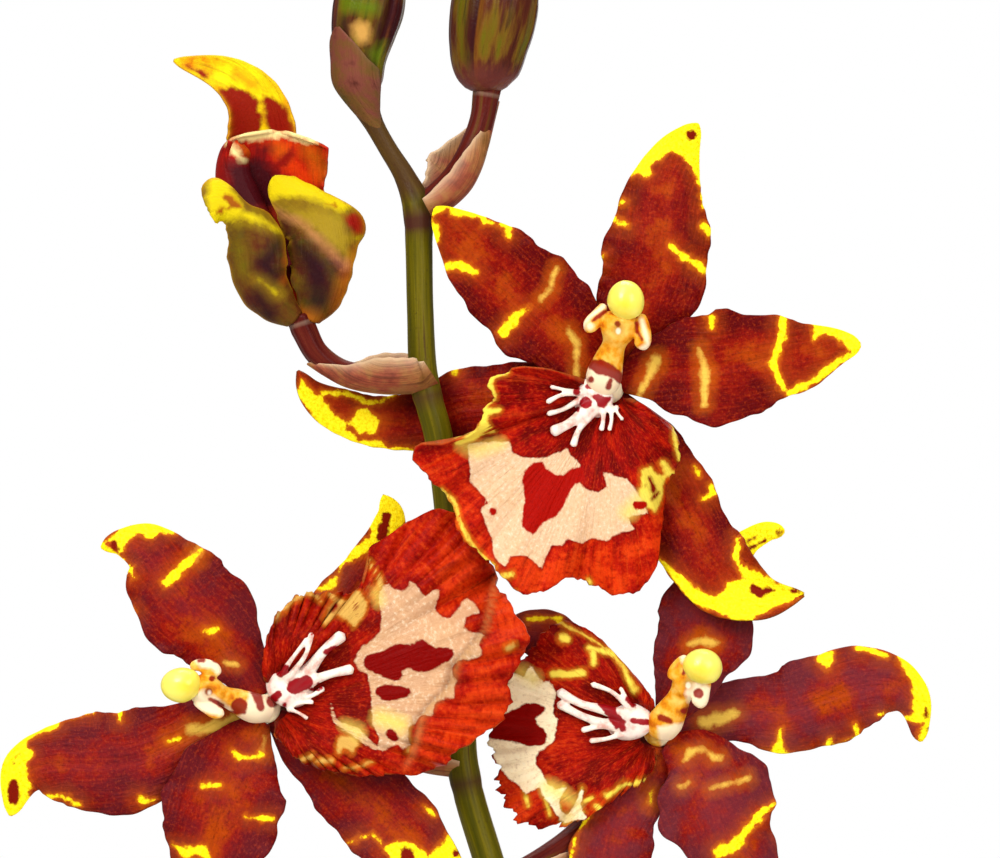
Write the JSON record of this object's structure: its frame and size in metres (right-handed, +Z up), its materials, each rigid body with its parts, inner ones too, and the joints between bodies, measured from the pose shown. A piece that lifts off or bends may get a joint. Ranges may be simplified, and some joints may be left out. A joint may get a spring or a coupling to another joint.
{
  "type": "potted colmanara orchid",
  "caption": "Orchid hybrid in a plain glazed pot, with ridged pseudobulbs, strap leaves and a tall spike of spotted blooms and buds.",
  "frame": {"origin": "centre of the pot's flat foot", "axes": "+Z up, the blooms face -Y, and +X is to the viewer's right"},
  "size_m": [0.3683, 0.2713, 0.5421],
  "materials": {
    "glaze": "gloss",
    "bark": "matte",
    "bulb": "satin",
    "leaf": "satin",
    "stem": "satin",
    "bract": "matte",
    "stalk": "satin",
    "tepal": "satin",
    "lip": "satin",
    "column": "satin",
    "cap": "satin",
    "bud": "satin"
  },
  "bodies": {
    "root": {"pot": "glaze", "bark": "bark", "pseudobulb_front": "bulb", "pseudobulb_left": "bulb", "pseudobulb_right": "bulb", "leaf_front_left": "leaf", "leaf_front_right": "leaf", "leaf_left_back": "leaf", "leaf_right_back": "leaf", "sheath_leaf_left": "leaf", "sheath_leaf_right": "leaf", "sheath_leaf_front": "leaf", "flower_stem": "stem", "sheath_low": "bract", "sheath_high": "bract", "stalk_bloom_1": "stalk", "stalk_bloom_2": "stalk", "stalk_bloom_3": "stalk", "stalk_opening_bud": "stalk", "stalk_upper_bud": "stalk", "bract_bloom_1": "bract", "bract_bloom_2": "bract", "bract_bloom_3": "bract", "bract_opening_bud": "bract", "bract_upper_bud": "bract", "bract_last_bud": "bract", "bloom_1_dorsal_sepal": "tepal", "bloom_1_left_petal": "tepal", "bloom_1_right_petal": "tepal", "bloom_1_left_sepal": "tepal", "bloom_1_right_sepal": "tepal", "bloom_2_dorsal_sepal": "tepal", "bloom_2_upper_petal": "tepal", "bloom_2_lower_petal": "tepal", "bloom_2_upper_sepal": "tepal", "bloom_2_lower_sepal": "tepal", "bloom_3_dorsal_sepal": "tepal", "bloom_3_upper_petal": "tepal", "bloom_3_lower_petal": "tepal", "bloom_3_upper_sepal": "tepal", "bloom_3_lower_sepal": "tepal", "bloom_1_lip": "lip", "bloom_1_column": "column", "bloom_1_anther_cap": "cap", "bloom_2_lip": "lip", "bloom_2_column": "column", "bloom_2_anther_cap": "cap", "bloom_3_lip": "lip", "bloom_3_column": "column", "bloom_3_anther_cap": "cap", "opening_bud_front_left": "tepal", "opening_bud_front_right": "tepal", "opening_bud_back": "tepal", "opening_bud_inner": "tepal", "upper_bud": "bud", "last_bud": "bud"}
  },
  "joints": []
}
